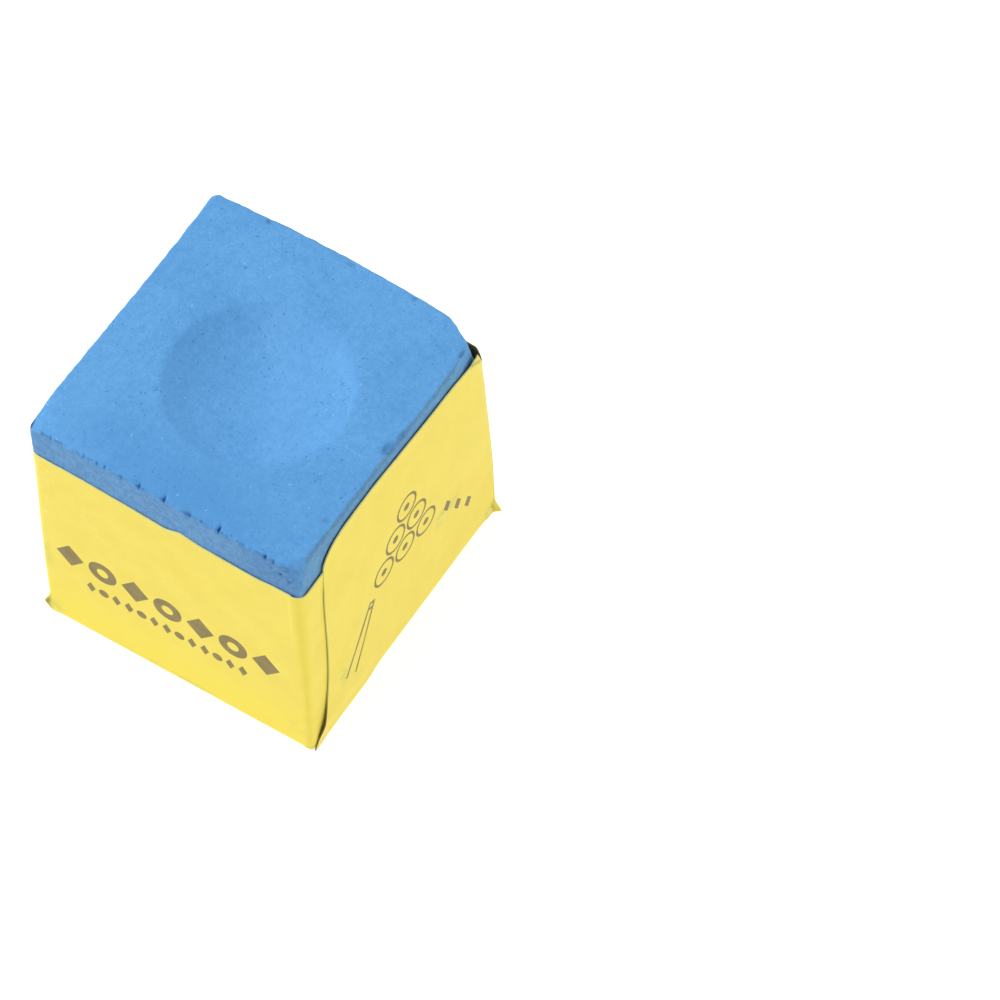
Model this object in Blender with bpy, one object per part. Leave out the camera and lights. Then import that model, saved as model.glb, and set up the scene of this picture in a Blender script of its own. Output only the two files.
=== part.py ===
"""A cube of cue chalk: a dished block of pressed chalk in a printed paper wrapper.

The wrapper is one sheet.  It starts as a tab on the right side, runs round the front, left,
back and right sides, laps over its own tab, and is folded like a parcel under the base.  Films
of dried glue hold the sheet to the block, its lap shut and its base flaps together.

Metres, +Z up.  The origin is the middle of the base.  The front faces -Y, the right side +X.
"""

import math

import bmesh
import bpy
from mathutils import Matrix, Vector

MM = 0.001

# Chalk block
CHALK_X = 22.0 * MM
CHALK_Y = 22.8 * MM
CHALK_HEIGHT = 22.6 * MM
CHALK_CORNER = 0.6 * MM      # radius of the upright corners
CHALK_EDGE = 0.25 * MM       # worn edge round the top
TOP_SKEW = 0.7 * MM          # the top rises this much at front left and falls as much at back right

# Dish that the cue tip turns in
DISH_RADIUS = 6.8 * MM
DISH_DEPTH = 1.5 * MM
DISH_X = 0.4 * MM
DISH_Y = -0.25 * MM

# Broken back right corner, and the worn front right corner, as lengths along the edges
BREAK_LENGTHS = (2.5 * MM, 1.9 * MM, 6.5 * MM)
WORN_LENGTHS = (2.3 * MM, 1.6 * MM, 2.4 * MM)

# Paper
PAPER = 0.10 * MM            # thickness of the sheet
WALL_GAP = 0.10 * MM         # between the sheet and the chalk
LAP_GAP = 0.12 * MM          # between the tab and the end that laps over it
PAPER_CORNER = CHALK_CORNER + WALL_GAP + PAPER / 2
TAB = 6.5 * MM               # reach of the tab from the front right corner
LAP_END = 2.5 * MM           # distance of the lapping end from the same corner

# Height of the sheet's top edge at each upright corner, in the order the sheet runs
TOP_AT_TAB = 19.8 * MM
TOP_AT_CORNERS = (19.8 * MM, 20.5 * MM, 21.0 * MM, 21.4 * MM)
TOP_AT_LAP = 22.35 * MM
LAP_CUT_WIDTH = 2.6 * MM     # the lapping end's top corner is trimmed in an S
LAP_CUT_DROP = 2.0 * MM

# The front and back walls stand out by this much at their feet, and not at all higher up
FRONT_SPLAY = 0.3 * MM
BACK_SPLAY = 0.1 * MM
SPLAY_HEIGHT = 20.0 * MM

# Base folds
FOLD = 0.25 * MM             # radius of the fold from a wall to its flap
SIDE_LEVEL = 0.45 * MM       # height of the two side flaps, which are folded in first
BACK_LEVEL = 0.27 * MM       # height of the back flap's tip, under the front flap's tip
FLAP_RISE = 1.5 * MM         # distance in which a side flap climbs to its level
SIDE_FLAP = 10.4 * MM        # length of a side flap
FRONT_FLAP = 12.8 * MM       # the front flap closes last and passes the middle
BACK_FLAP = 12.3 * MM
END_FLAP_ROOT = 9.6 * MM     # half widths of those two at the fold and at the tip
END_FLAP_TIP = 1.8 * MM
TIP_CLEARANCE = 0.6 * MM     # the back flap is up at its level this far before the front flap's tip
TIP_RISE = 1.2 * MM          # distance in which it climbs
EAR = 0.45 * MM              # fins of folded paper that stand out at the foot of three corners
EAR_HEIGHT = 2.2 * MM
EAR_LAYERS = 0.22 * MM       # spacing of a fin's two layers

# Glue films
GLUE = 0.04 * MM
PASTE_SIZE = (14.0 * MM, 12.0 * MM)
PASTE_CORNER = 2.0 * MM
PASTE_Z = 10.0 * MM
LAP_GLUE_SIZE = (3.0 * MM, 15.0 * MM)
LAP_GLUE_CORNER = 0.8 * MM
FLAP_GLUE_RADIUS = 0.7 * MM

# Segment counts
CORNER_STEPS = 5
WALL_STEPS = 8
FOLD_STEPS = 3
DISH_STEPS = 72

# Places that follow from the sizes above
WALL_OFFSET = WALL_GAP + PAPER / 2
LAP_STEP = PAPER + LAP_GAP
BLOCK_X = -LAP_STEP / 2      # keeps the wrapped cube centred on the origin
LEFT = BLOCK_X - CHALK_X / 2 - WALL_OFFSET
TAB_X = BLOCK_X + CHALK_X / 2 + WALL_OFFSET
RIGHT = TAB_X + LAP_STEP
FRONT = -CHALK_Y / 2 - WALL_OFFSET
BACK = CHALK_Y / 2 + WALL_OFFSET
FRONT_FOOT = FRONT - FRONT_SPLAY
BACK_FOOT = BACK + BACK_SPLAY
FLOOR = PAPER / 2
CHALK_FLOOR = SIDE_LEVEL + WALL_OFFSET
CHALK_TOP = CHALK_FLOOR + CHALK_HEIGHT


def clear_scene():
    for thing in list(bpy.data.objects):
        bpy.data.objects.remove(thing, do_unlink=True)


def material(name, colour, roughness, metallic=0.0):
    surface = bpy.data.materials.new(name)
    surface.use_nodes = True
    shader = surface.node_tree.nodes["Principled BSDF"]
    shader.inputs["Base Color"].default_value = (*colour, 1.0)
    shader.inputs["Roughness"].default_value = roughness
    shader.inputs["Metallic"].default_value = metallic
    surface.diffuse_color = (*colour, 1.0)
    return surface


def new_object(name, mesh, surface=None):
    thing = bpy.data.objects.new(name, mesh)
    bpy.context.scene.collection.objects.link(thing)
    if surface:
        mesh.materials.append(surface)
    return thing


def object_from_bmesh(name, shape, surface=None):
    mesh = bpy.data.meshes.new(name)
    shape.to_mesh(mesh)
    shape.free()
    return new_object(name, mesh, surface)


def smoothstep(value):
    value = min(max(value, 0.0), 1.0)
    return value * value * (3.0 - 2.0 * value)


# ---------------------------------------------------------------- chalk


def top_skew(x, y):
    """How much the sawn top stands above its mean height at a place."""
    return TOP_SKEW * (y / (CHALK_Y / 2) + (x - BLOCK_X) / (CHALK_X / 2)) / -2


def cutter(name, shape):
    thing = object_from_bmesh(name, shape)
    thing.hide_render = True
    thing.display_type = "WIRE"
    return thing


def dish_cutter():
    """A ball whose cap is the dish."""
    radius = (DISH_RADIUS**2 + DISH_DEPTH**2) / (2 * DISH_DEPTH)
    ball = bmesh.new()
    bmesh.ops.create_uvsphere(ball, u_segments=DISH_STEPS, v_segments=DISH_STEPS, radius=radius)
    thing = cutter("dish_cutter", ball)
    height = CHALK_TOP + top_skew(DISH_X, DISH_Y) - DISH_DEPTH + radius
    thing.location = (DISH_X, DISH_Y, height)
    return thing


def corner_cutter(name, corner, lengths):
    """A tetrahedron that breaks off a corner by the given lengths along its three edges."""
    reach = 1.6              # the cutter passes through the faces it cuts
    shape = bmesh.new()
    inward = Vector((-math.copysign(1, corner.x), -math.copysign(1, corner.y), -1))
    steps = [Vector((0, 0, 0)) for _ in range(3)]
    for axis, length in enumerate(lengths):
        steps[axis][axis] = inward[axis] * length
    outside = corner - sum(steps, Vector()) * (reach - 1)
    ends = [outside + step * (1 + 3 * (reach - 1)) for step in steps]
    points = [shape.verts.new(point) for point in (outside, *ends)]
    for face in ((0, 1, 2), (0, 2, 3), (0, 3, 1), (1, 3, 2)):
        shape.faces.new([points[index] for index in face])
    bmesh.ops.recalc_face_normals(shape, faces=shape.faces)
    return cutter(name, shape)


def subtract(thing, tool):
    cut = thing.modifiers.new(tool.name, "BOOLEAN")
    cut.operation = "DIFFERENCE"
    cut.solver = "EXACT"
    cut.object = tool


def chalk_block(surface):
    shape = bmesh.new()
    size = Matrix.Diagonal((CHALK_X, CHALK_Y, CHALK_HEIGHT, 1.0))
    place = Matrix.Translation((BLOCK_X, 0, CHALK_FLOOR + CHALK_HEIGHT / 2))
    bmesh.ops.create_cube(shape, size=1.0, matrix=place @ size)
    upright = [edge for edge in shape.edges if abs(edge.verts[0].co.z - edge.verts[1].co.z) > MM]
    bmesh.ops.bevel(
        shape, geom=upright, offset=CHALK_CORNER, segments=CORNER_STEPS, affect="EDGES", profile=0.5
    )
    middle = CHALK_FLOOR + CHALK_HEIGHT / 2
    rim = [edge for edge in shape.edges if min(vert.co.z for vert in edge.verts) > middle]
    bmesh.ops.bevel(shape, geom=rim, offset=CHALK_EDGE, segments=2, affect="EDGES", profile=0.5)
    for vert in shape.verts:
        if vert.co.z > middle:
            vert.co.z += top_skew(vert.co.x, vert.co.y)
    block = object_from_bmesh("chalk_block", shape, surface)

    subtract(block, dish_cutter())
    corners = (
        ("break_cutter", Vector((BLOCK_X + CHALK_X / 2, CHALK_Y / 2, 0)), BREAK_LENGTHS),
        ("wear_cutter", Vector((BLOCK_X + CHALK_X / 2, -CHALK_Y / 2, 0)), WORN_LENGTHS),
    )
    for name, corner, lengths in corners:
        corner.z = CHALK_TOP + top_skew(corner.x, corner.y)
        subtract(block, corner_cutter(name, corner, lengths))
    return block


# ---------------------------------------------------------------- paper wrapper


def ear_weight(height):
    return 1 - smoothstep(height / EAR_HEIGHT)


def splayed(place, height):
    """A wall's plan place at a height, with the front and back walls spread towards the base."""
    share = max(1 - height / SPLAY_HEIGHT, 0)
    reach = (BACK_FOOT if place.y > 0 else -FRONT_FOOT) / BACK - 1
    return place.x, place.y * (1 + reach * share)


def corner_points(corner, before, after, ear):
    """Points round a corner of the sheet, as plan places that may depend on height.

    The corner is an arc.  Where the sheet has an ear, the arc's middle points move out along
    X as the height falls to the base, so that the fold pinches into a fin.
    """
    centre = corner - before * PAPER_CORNER + after * PAPER_CORNER
    points = []
    for step in range(CORNER_STEPS + 1):
        turn = step / CORNER_STEPS
        angle = turn * math.pi / 2
        round_place = centre + PAPER_CORNER * (math.sin(angle) * before - math.cos(angle) * after)
        points.append({"place": round_place, "shift": Vector((0, 0))})
    if ear:
        along, across = (before, after) if abs(before.x) > 0.5 else (-after, -before)
        run = range(CORNER_STEPS + 1) if abs(before.x) > 0.5 else range(CORNER_STEPS, -1, -1)
        pinched = (
            corner - along * PAPER_CORNER,
            corner - along * PAPER_CORNER * 0.4,
            corner + along * EAR,
            corner + along * EAR + across * EAR_LAYERS,
            corner + across * EAR_LAYERS * 1.5,
            corner + across * PAPER_CORNER,
        )
        for index, target in zip(run, pinched):
            points[index]["shift"] = target - points[index]["place"]
    return points


def sheet_path():
    """The sheet's plan from the tab to the lapping end: places, ear shifts and top heights.

    Returns the columns, and for each wall the first and last column of its flat stretch.
    """
    turns = [Vector((0, -1)), Vector((-1, 0)), Vector((0, 1)), Vector((1, 0)), Vector((0, -1))]
    corners = [
        Vector((TAB_X, FRONT)),
        Vector((LEFT, FRONT)),
        Vector((LEFT, BACK)),
        Vector((RIGHT, BACK)),
    ]
    start = Vector((TAB_X, FRONT + TAB))
    end = Vector((RIGHT, FRONT + LAP_END))
    columns = []
    flats = []
    place = start
    top = TOP_AT_TAB
    for index, corner in enumerate(corners):
        stop = corner - turns[index] * PAPER_CORNER
        corner_top = TOP_AT_CORNERS[index]
        first = len(columns) - 1
        for step in range(0 if index == 0 else 1, WALL_STEPS):
            part = step / WALL_STEPS
            height = top + (corner_top - top) * part
            columns.append({"place": place.lerp(stop, part), "shift": Vector((0, 0)), "top": height})
        if index:
            flats.append((first, len(columns)))
        for point in corner_points(corner, turns[index], turns[index + 1], ear=index > 0):
            columns.append({**point, "top": corner_top})
        place = corner + turns[index + 1] * PAPER_CORNER
        top = corner_top
    first = len(columns) - 1
    lap_steps = WALL_STEPS * 2
    for step in range(1, lap_steps + 1):
        part = 1 - (1 - step / lap_steps) ** 1.6      # closer columns towards the trimmed end
        here = place.lerp(end, part)
        trim = LAP_CUT_DROP * smoothstep(1 - (here - end).length / LAP_CUT_WIDTH)
        height = top + (TOP_AT_LAP - top) * part - trim
        columns.append({"place": here, "shift": Vector((0, 0)), "top": height})
    flats.append((first, len(columns) - 1))
    return columns, flats


def wall_heights(top):
    """Heights of a column's points, close together near the base, where the ears are."""
    foot = FLOOR + FOLD
    low = [foot + EAR_HEIGHT * part for part in (0, 0.25, 0.5, 0.75, 1)]
    rows = 6
    return low + [low[-1] + (top - low[-1]) * row / rows for row in range(1, rows + 1)]


def flap_profile(length, level, rise_from, rise_to):
    """A flap seen from its side, from the wall's foot inwards: distances and heights."""
    points = []
    for step in range(1, FOLD_STEPS + 1):
        angle = step / FOLD_STEPS * math.pi / 2
        points.append((FOLD * (1 - math.cos(angle)), FLOOR + FOLD * (1 - math.sin(angle))))
    rise_steps = 4
    for step in range(rise_steps + 1):
        part = step / rise_steps
        distance = rise_from + (rise_to - rise_from) * part
        points.append((distance, FLOOR + (level - FLOOR) * smoothstep(part)))
    points.append((length, level))
    return points


def add_flap(shape, foot, inward, profile, tip_scale, root_scale):
    """Folds a flap in from a row of wall points; the scales narrow it about its middle."""
    middle = (foot[0].co + foot[-1].co) / 2
    length = profile[-1][0]
    previous = foot
    for distance, height in profile:
        scale = 1.0
        if distance > FOLD * 0.9:
            scale = root_scale + (tip_scale - root_scale) * distance / length
        row = []
        for vert in foot:
            along = (vert.co - middle) * scale
            place = middle + along + inward * distance
            row.append(shape.verts.new((place.x, place.y, height)))
        for index in range(len(foot) - 1):
            shape.faces.new((previous[index], previous[index + 1], row[index + 1], row[index]))
        previous = row


def paper_wrapper(surface):
    columns, flats = sheet_path()
    shape = bmesh.new()
    grid = []
    for column in columns:
        stack = []
        for height in wall_heights(column["top"]):
            place = column["place"] + column["shift"] * ear_weight(height - FLOOR - FOLD)
            stack.append(shape.verts.new((*splayed(place, height), height)))
        grid.append(stack)
    for left, right in zip(grid, grid[1:]):
        for row in range(len(left) - 1):
            shape.faces.new((left[row], left[row + 1], right[row + 1], right[row]))

    side = flap_profile(SIDE_FLAP, SIDE_LEVEL, FOLD * 1.2, FLAP_RISE)
    front = flap_profile(FRONT_FLAP, FLOOR, FOLD * 2, FRONT_FLAP / 2)
    risen = BACK_FOOT - (FRONT_FOOT + FRONT_FLAP) - TIP_CLEARANCE
    back = flap_profile(BACK_FLAP, BACK_LEVEL, risen - TIP_RISE, risen)
    flaps = (
        (flats[0], Vector((0, 1, 0)), front, END_FLAP_ROOT, END_FLAP_TIP),
        (flats[1], Vector((1, 0, 0)), side, None, None),
        (flats[2], Vector((0, -1, 0)), back, END_FLAP_ROOT, END_FLAP_TIP),
        (flats[3], Vector((-1, 0, 0)), side, None, None),
    )
    for (first, last), inward, profile, root, tip in flaps:
        foot = [grid[index][0] for index in range(first, last + 1)]
        half = (foot[0].co - foot[-1].co).length / 2
        root_scale = root / half if root else 1.0
        tip_scale = tip / half if tip else 1.0
        add_flap(shape, foot, inward, profile, tip_scale, root_scale)
    bmesh.ops.recalc_face_normals(shape, faces=shape.faces)
    wrapper = object_from_bmesh("paper_wrapper", shape, surface)
    thick = wrapper.modifiers.new("sheet_thickness", "SOLIDIFY")
    thick.thickness = PAPER
    thick.offset = 0
    thick.use_even_offset = True
    return wrapper


# ---------------------------------------------------------------- glue


def film(name, size, corner, place, facing, surface):
    """A thin rounded film of dried glue, flat side along `facing`."""
    shape = bmesh.new()
    bmesh.ops.create_cube(shape, size=1.0, matrix=Matrix.Diagonal((size[0], size[1], GLUE, 1.0)))
    upright = [edge for edge in shape.edges if abs(edge.verts[0].co.z - edge.verts[1].co.z) > GLUE / 2]
    bmesh.ops.bevel(
        shape, geom=upright, offset=corner, segments=CORNER_STEPS, affect="EDGES", profile=0.5
    )
    thing = object_from_bmesh(name, shape, surface)
    thing.rotation_euler = facing.to_track_quat("Z", "Y").to_euler()
    thing.location = place
    return thing


def glue_films(surface):
    reach = WALL_GAP / 2
    walls = (
        ("front_wall_paste", Vector((BLOCK_X, -CHALK_Y / 2 - reach, PASTE_Z)), Vector((0, -1, 0))),
        ("left_wall_paste", Vector((BLOCK_X - CHALK_X / 2 - reach, 0, PASTE_Z)), Vector((-1, 0, 0))),
        ("back_wall_paste", Vector((BLOCK_X, CHALK_Y / 2 + reach, PASTE_Z)), Vector((0, 1, 0))),
    )
    for name, place, facing in walls:
        film(name, PASTE_SIZE, PASTE_CORNER, place, facing, surface)
    base = Vector((0, 0, CHALK_FLOOR - reach))
    film("base_paste", PASTE_SIZE, PASTE_CORNER, base, Vector((0, 0, -1)), surface)

    lap_middle = (LAP_END + TAB) / 2
    lap_place = Vector((TAB_X + LAP_STEP / 2, FRONT + lap_middle, PASTE_Z))
    film("lap_glue", LAP_GLUE_SIZE, LAP_GLUE_CORNER, lap_place, Vector((1, 0, 0)), surface)

    spot = bmesh.new()
    bmesh.ops.create_cone(
        spot, cap_ends=True, segments=24, radius1=FLAP_GLUE_RADIUS, radius2=FLAP_GLUE_RADIUS, depth=GLUE
    )
    thing = object_from_bmesh("base_flap_glue", spot, surface)
    tips = (FRONT_FOOT + FRONT_FLAP, BACK_FOOT - BACK_FLAP)
    thing.location = (BLOCK_X, sum(tips) / 2, (FLOOR + BACK_LEVEL) / 2)


def main():
    clear_scene()
    chalk_block(material("chalk", (0.13, 0.37, 0.73), 0.95))
    paper_wrapper(material("paper", (0.90, 0.77, 0.17), 0.6))
    glue_films(material("glue", (0.80, 0.74, 0.55), 0.5))


main()
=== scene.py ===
"""The looks of a cube of cue chalk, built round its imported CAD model.

Two pieces are made here.  The chalk block gets its dish, worn and broken corners, nicks and
grain.  The paper wrapper is drawn as one flat sheet with its print, then folded round the block.
Both are worked out in millimetres in the CAD model's frame: the front faces -Y, the right side
+X, and the origin is the middle of the base.
"""

import math

import bpy
import numpy as np
from mathutils import Matrix, Vector, geometry, noise


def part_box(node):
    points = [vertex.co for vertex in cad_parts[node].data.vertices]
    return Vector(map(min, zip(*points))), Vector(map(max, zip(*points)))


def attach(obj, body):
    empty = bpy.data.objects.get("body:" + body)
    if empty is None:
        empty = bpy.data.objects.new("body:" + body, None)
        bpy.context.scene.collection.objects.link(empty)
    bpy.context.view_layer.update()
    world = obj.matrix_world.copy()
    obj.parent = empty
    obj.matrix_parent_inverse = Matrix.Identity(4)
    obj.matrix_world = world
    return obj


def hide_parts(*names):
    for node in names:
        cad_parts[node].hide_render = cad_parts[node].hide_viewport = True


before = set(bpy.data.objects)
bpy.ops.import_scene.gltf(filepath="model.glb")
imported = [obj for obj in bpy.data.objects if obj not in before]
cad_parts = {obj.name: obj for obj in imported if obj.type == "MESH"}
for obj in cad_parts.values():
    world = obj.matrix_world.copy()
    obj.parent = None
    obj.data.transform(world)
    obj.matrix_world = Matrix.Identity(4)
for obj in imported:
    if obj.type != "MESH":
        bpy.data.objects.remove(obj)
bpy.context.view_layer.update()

MM = 0.001


def box_mm(node):
    return [np.array(corner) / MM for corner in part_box(node)]


# ------------------------ sizes of the block

BLOCK_LOW, BLOCK_HIGH = box_mm("chalk_block")
BLOCK_MIDDLE = (BLOCK_LOW + BLOCK_HIGH) / 2
BLOCK_HALF = (BLOCK_HIGH - BLOCK_LOW)[:2] / 2
TOP_SKEW = 0.7               # the top rises this much at front left and falls as much at back right
TOP_MEAN = BLOCK_HIGH[2] - TOP_SKEW
BLOCK_BASE = BLOCK_LOW[2]
UPRIGHT_RADIUS = 0.38        # of the upright corners
EDGE_RADIUS = 0.18           # worn edge round the top, on average
RIGHT_WEAR = 0.12            # extra wear along the top's right edge
BACK_BOW = 0.34              # how far the middle of the top's back edge bows out
LEFT_BOW = -0.14             # the left edge is a little hollow
RIGHT_BOW = 0.06             # the right side stands out along its whole top
BACK_LEFT_POINT = 0.23       # how far the top's back left corner, the sharpest, stands out
FRONT_DROOP = 0.45           # the top is worn down this much along its front edge
BACK_RISE = 0.25             # and this much higher in the middle of its back edge

DISH_CENTRE = np.array([0.4, -0.25])
DISH_RADIUS = 6.8
DISH_DEPTH = 1.5
DISH_RIM = 0.05              # softness of the dish's rim

TOP_COLUMNS = 250            # cells of the block's skin along X and Y
TOP_ROWS = 176
FRONT_ROWS = 26              # of those rows, the close ones at the front edge, where the nicks are
FRONT_BAND = 1.8             # how far back those rows reach
FINE_DEPTH = 4.2             # the sides are close-meshed down to this depth
FINE_RINGS = 38
COARSE_RINGS = 9

# ------------------------ sizes of the wrapper

PAPER_LOW, PAPER_HIGH = box_mm("paper_wrapper")
PAPER = 0.10
LAP_STEP = 0.22              # from the tab's middle surface to the end that laps over it
FLOOR = PAPER / 2            # the lowest flaps' middle surface
WALL_OFFSET = 0.15           # from the chalk's sides to the sheet's middle surface
FRONT = BLOCK_LOW[1] - WALL_OFFSET
BACK = BLOCK_HIGH[1] + WALL_OFFSET
LEFT = BLOCK_LOW[0] - WALL_OFFSET
FRONT_FOOT = PAPER_LOW[1] + PAPER / 2    # the front and back walls spread a little towards the base
BACK_FOOT = PAPER_HIGH[1] - PAPER / 2
SPLAY_HEIGHT = 20.0          # the height at which that spread begins
TAB_X = BLOCK_HIGH[0] + WALL_OFFSET
RIGHT = TAB_X + LAP_STEP
TAB = 6.5                    # reach of the tab from the front right corner

FRONT_WIDTH = TAB_X - LEFT
SIDE_WIDTH = BACK - FRONT
BACK_WIDTH = RIGHT - LEFT

# The sheet is measured along its walls from the front right corner, and up from the base fold.
LEFT_FOLD = FRONT_WIDTH
BACK_FOLD = LEFT_FOLD + SIDE_WIDTH
RIGHT_FOLD = BACK_FOLD + BACK_WIDTH
SHEET_END = RIGHT_FOLD + SIDE_WIDTH

CORNERS_AT_TOP = (0.9, 0.9, 0.9, 1.25)   # the upright folds are rounder at the top than at the base
CORNER_AT_BASE = 0.45
BASE_FOLD = 0.32             # reach of the base folds' round bend, up and inwards
FLAP_ROOT = 10.3             # half width of every base flap at its fold
SIDE_FLAP = 10.4             # reach of the left and right base flaps
SIDE_LEVEL = 0.45            # height of their middle surface, over the other two flaps
FRONT_FLAP = 12.8            # reach of the front and back base flaps
BACK_FLAP = 12.3
BACK_LEVEL = 0.27            # height of the back flap's tip, over the front flap
TIP = 1.8                    # half width of the front and back flaps' tips

RIGHT_TUCK = 0.26            # how far the foot of the right wall is drawn in, past the tab
LAP_TUCK = 0.12              # and over the tab

EAR = 0.42                   # how far the fins at the feet of the corners stand out
EAR_LAYERS = 0.2             # from one layer of a fin to the other
EAR_REACH = 1.0              # how much of each wall is drawn into a fin
EAR_HEIGHTS = ((0.8, 2.1), (0.6, 2.0), (0.35, 1.5))  # of each fin's point and of its root

CREASE_HEIGHT = 19.78        # of the crease under the bent-in corner at the back right, at its fold
CREASE_SLOPE = 0.70          # its rise for each millimetre along the right wall
BENT_IN = 0.28               # how far the paper above it leans in, for each millimetre up
TOP_LEAN = 0.15              # how far the right wall's top leans in against the chalk
LAP_FLARE = 0.13             # how far the lap stands open near its foot

COARSE = 0.38                # spacing of the sheet's mesh points
FINE = 0.12


# ------------------------ helpers


def smooth(value, low=0.0, high=1.0):
    """A smooth step from 0 at low to 1 at high."""
    part = np.clip((value - low) / (high - low), 0, 1)
    return part * part * (3 - 2 * part)


def bell(distance, width):
    """A smooth bump, 1 in its middle and about a third at its width."""
    return np.exp(-((distance / width) ** 2))


def soft_positive(value, softness):
    """The value where it is positive and 0 where it is negative, with a rounded bend."""
    return softness * np.logaddexp(0, value / softness)


def wander(points, wavelength, seed):
    """Smooth noise between about -1 and 1 at each point."""
    shift = Vector((17.3, 5.1, 9.7)) * seed
    scaled = np.zeros((len(points), 3))
    scaled[:, : points.shape[1]] = points / wavelength
    return np.array([noise.noise(Vector(point) + shift) for point in scaled])


def curve_through(points, step):
    """Points every step or so along a Catmull-Rom curve through the given ones."""
    knots = np.array([points[0], *points, points[-1]], float)
    curve = []
    for a, b, c, d in zip(knots, knots[1:], knots[2:], knots[3:]):
        count = max(1, round(float(np.hypot(*(c - b))) / step))
        for part in np.arange(count) / count:
            bend = 2 * b + (c - a) * part
            bend = bend + (2 * a - 5 * b + 4 * c - d) * part**2 + (3 * b - a - 3 * c + d) * part**3
            curve.append(bend / 2)
    return curve + [knots[-1]]


def line(start, end, step):
    """Points every step or so from start up to, but not at, end."""
    start, end = np.array(start, float), np.array(end, float)
    count = max(1, round(float(np.hypot(*(end - start))) / step))
    return [start + (end - start) * part for part in np.arange(count) / count]


def make_piece(name, points, faces, face_materials, materials, marks, sharp_angle):
    """A mesh object from millimetre points; marks are named values for each point."""
    mesh = bpy.data.meshes.new(name)
    mesh.from_pydata((np.asarray(points) * MM).tolist(), [], faces)
    for surface in materials:
        mesh.materials.append(surface)
    mesh.polygons.foreach_set("material_index", face_materials)
    for mark, values in marks.items():
        layer = mesh.attributes.new(mark, "FLOAT", "POINT")
        layer.data.foreach_set("value", np.asarray(values, np.float32))
    mesh.validate()
    mesh.shade_smooth()
    mesh.set_sharp_from_angle(angle=math.radians(sharp_angle))
    piece = bpy.data.objects.new(name, mesh)
    bpy.context.scene.collection.objects.link(piece)
    return piece


# ------------------------ materials


class Surface:
    """A material under construction.  Its patterns are sized in millimetres."""

    def __init__(self, name, roughness, specular):
        self.material = bpy.data.materials.new(name)
        self.material.use_nodes = True
        self.tree = self.material.node_tree
        self.shader = self.tree.nodes["Principled BSDF"]
        self.shader.inputs["Roughness"].default_value = roughness
        self.shader.inputs["Specular IOR Level"].default_value = specular
        here = self.node("ShaderNodeTexCoord")
        self.place = self.vector_math("SCALE", here.outputs["Object"], scale=1 / MM)

    def node(self, kind, **settings):
        made = self.tree.nodes.new(kind)
        for key, value in settings.items():
            setattr(made, key, value)
        return made

    def feed(self, socket, value):
        """Links an output into a socket, or sets the socket to a plain value."""
        if isinstance(value, bpy.types.NodeSocket):
            self.tree.links.new(value, socket)
        elif hasattr(value, "__len__") and socket.type == "RGBA":
            socket.default_value = (*value, 1.0)
        else:
            socket.default_value = value

    def vector_math(self, operation, first, second=None, scale=None):
        made = self.node("ShaderNodeVectorMath", operation=operation)
        self.feed(made.inputs[0], first)
        if second is not None:
            self.feed(made.inputs[1], second)
        if scale is not None:
            made.inputs["Scale"].default_value = scale
        return made.outputs[0]

    def math(self, operation, first, second=0.0):
        made = self.node("ShaderNodeMath", operation=operation)
        self.feed(made.inputs[0], first)
        self.feed(made.inputs[1], second)
        return made.outputs[0]

    def mark(self, name):
        return self.node("ShaderNodeAttribute", attribute_name=name).outputs["Fac"]

    def noise(self, per_mm, detail=2.0, roughness=0.5, stretch=None, distortion=0.0):
        """Noise with this many features to a millimetre; stretch scales each axis of it."""
        made = self.node("ShaderNodeTexNoise")
        place = self.vector_math("MULTIPLY", self.place, stretch) if stretch else self.place
        self.feed(made.inputs["Vector"], place)
        made.inputs["Scale"].default_value = per_mm
        made.inputs["Detail"].default_value = detail
        made.inputs["Roughness"].default_value = roughness
        made.inputs["Distortion"].default_value = distortion
        return made.outputs["Fac"]

    def cells(self, per_mm):
        """Distance to the nearest of scattered points, in cells, with ragged outlines."""
        bend = self.node("ShaderNodeTexNoise")
        self.feed(bend.inputs["Vector"], self.place)
        bend.inputs["Scale"].default_value = 5.0
        bent = self.vector_math("SCALE", bend.outputs["Color"], scale=0.35)
        made = self.node("ShaderNodeTexVoronoi")
        self.feed(made.inputs["Vector"], self.vector_math("ADD", self.place, bent))
        made.inputs["Scale"].default_value = per_mm
        return made.outputs["Distance"]

    def band(self, value, low, high, start=0.0, end=1.0):
        """Maps a value from low..high to start..end, with smooth ends."""
        made = self.node("ShaderNodeMapRange", interpolation_type="SMOOTHSTEP")
        self.feed(made.inputs["Value"], value)
        for name, number in (("From Min", low), ("From Max", high), ("To Min", start), ("To Max", end)):
            made.inputs[name].default_value = number
        return made.outputs["Result"]

    def blend(self, factor, first, second):
        made = self.node("ShaderNodeMix", data_type="RGBA")
        self.feed(made.inputs["Factor"], factor)
        self.feed(made.inputs[6], first)
        self.feed(made.inputs[7], second)
        return made.outputs[2]

    def finish(self, colour, roughness=None, height=None, relief=0.0):
        """Connects the shader; relief is the depth of the finest texture in millimetres."""
        self.feed(self.shader.inputs["Base Color"], colour)
        if roughness is not None:
            self.feed(self.shader.inputs["Roughness"], roughness)
        if height is not None:
            bump = self.node("ShaderNodeBump")
            bump.inputs["Distance"].default_value = relief * MM
            self.feed(bump.inputs["Height"], height)
            self.feed(self.shader.inputs["Normal"], bump.outputs["Normal"])
        return self.material


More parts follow.
